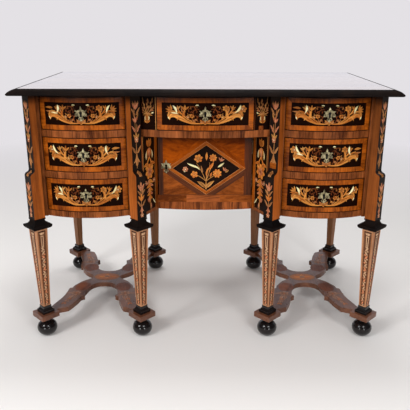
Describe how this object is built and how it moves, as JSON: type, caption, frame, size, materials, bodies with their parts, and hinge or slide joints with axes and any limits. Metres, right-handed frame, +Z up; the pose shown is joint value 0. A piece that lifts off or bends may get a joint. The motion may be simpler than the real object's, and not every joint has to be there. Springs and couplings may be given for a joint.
{
  "type": "kneehole writing desk",
  "caption": "Kneehole writing desk with bowed drawer pedestals, a frieze drawer, a recessed cupboard, square tapered legs, bun feet and X-shaped stretchers.",
  "frame": {"origin": "middle of the plan, on the floor under the bun feet", "axes": "+X along the long front to the viewer's right, +Y from the drawer fronts towards the back, +Z up"},
  "size_m": [1.116, 0.605, 0.79],
  "materials": {
    "walnut_veneer": "polished, crossbanded and inlaid",
    "ebonised_wood": "black polish",
    "light_veneer": "polished, strung with dark lines",
    "secondary_wood": "plain",
    "brass": "aged"
  },
  "bodies": {
    "case": {"back_panel": "secondary_wood", "back_posts": "walnut_veneer", "bun_feet": "ebonised_wood", "case_bottoms": "secondary_wood", "case_hinge_leaves": "brass", "cupboard_sill": "walnut_veneer", "dust_boards": "secondary_wood", "frieze_frame": "walnut_veneer", "left_front_frame": "walnut_veneer", "left_inner_back_leg": "light_veneer", "left_inner_front_leg": "light_veneer", "left_inner_front_post": "walnut_veneer", "left_inner_side": "secondary_wood", "left_outer_back_leg": "light_veneer", "left_outer_front_leg": "light_veneer", "left_outer_front_post": "walnut_veneer", "left_outer_side": "walnut_veneer", "left_recess_cheek": "walnut_veneer", "left_stretcher": "walnut_veneer", "leg_capitals": "ebonised_wood", "leg_collars": "ebonised_wood", "right_front_frame": "walnut_veneer", "right_inner_back_leg": "light_veneer", "right_inner_front_leg": "light_veneer", "right_inner_front_post": "walnut_veneer", "right_inner_side": "secondary_wood", "right_outer_back_leg": "light_veneer", "right_outer_front_leg": "light_veneer", "right_outer_front_post": "walnut_veneer", "right_outer_side": "walnut_veneer", "right_recess_cheek": "walnut_veneer", "right_stretcher": "walnut_veneer", "top_board": "walnut_veneer", "top_edge_moulding": "ebonised_wood"},
    "left_lower_drawer": {"left_lower_drawer_front": "walnut_veneer", "left_lower_drawer_box": "secondary_wood", "left_lower_drawer_escutcheon": "brass"},
    "left_middle_drawer": {"left_middle_drawer_front": "walnut_veneer", "left_middle_drawer_box": "secondary_wood", "left_middle_drawer_escutcheon": "brass"},
    "left_upper_drawer": {"left_upper_drawer_front": "walnut_veneer", "left_upper_drawer_box": "secondary_wood", "left_upper_drawer_escutcheon": "brass"},
    "right_lower_drawer": {"right_lower_drawer_front": "walnut_veneer", "right_lower_drawer_box": "secondary_wood", "right_lower_drawer_escutcheon": "brass"},
    "right_middle_drawer": {"right_middle_drawer_front": "walnut_veneer", "right_middle_drawer_box": "secondary_wood", "right_middle_drawer_escutcheon": "brass"},
    "right_upper_drawer": {"right_upper_drawer_front": "walnut_veneer", "right_upper_drawer_box": "secondary_wood", "right_upper_drawer_escutcheon": "brass"},
    "frieze_drawer": {"frieze_drawer_front": "walnut_veneer", "frieze_drawer_box": "secondary_wood", "frieze_drawer_escutcheon": "brass"},
    "door": {"cupboard_door": "walnut_veneer", "cupboard_door_escutcheon": "brass", "door_hinge_leaves": "brass"}
  },
  "joints": [
    {"name": "left_lower_drawer_slide", "type": "slide", "parent": "case", "child": "left_lower_drawer", "axis": [0, -1, 0], "range_m": [0, 0.3]},
    {"name": "left_middle_drawer_slide", "type": "slide", "parent": "case", "child": "left_middle_drawer", "axis": [0, -1, 0], "range_m": [0, 0.3]},
    {"name": "left_upper_drawer_slide", "type": "slide", "parent": "case", "child": "left_upper_drawer", "axis": [0, -1, 0], "range_m": [0, 0.3]},
    {"name": "right_lower_drawer_slide", "type": "slide", "parent": "case", "child": "right_lower_drawer", "axis": [0, -1, 0], "range_m": [0, 0.3]},
    {"name": "right_middle_drawer_slide", "type": "slide", "parent": "case", "child": "right_middle_drawer", "axis": [0, -1, 0], "range_m": [0, 0.3]},
    {"name": "right_upper_drawer_slide", "type": "slide", "parent": "case", "child": "right_upper_drawer", "axis": [0, -1, 0], "range_m": [0, 0.3]},
    {"name": "frieze_drawer_slide", "type": "slide", "parent": "case", "child": "frieze_drawer", "axis": [0, -1, 0], "range_m": [0, 0.3]},
    {"name": "door_hinge", "type": "hinge", "parent": "case", "child": "door", "pos_m": [0.148, -0.1678, 0.54], "axis": [0, 0, 1], "range_deg": [0, 90]}
  ]
}
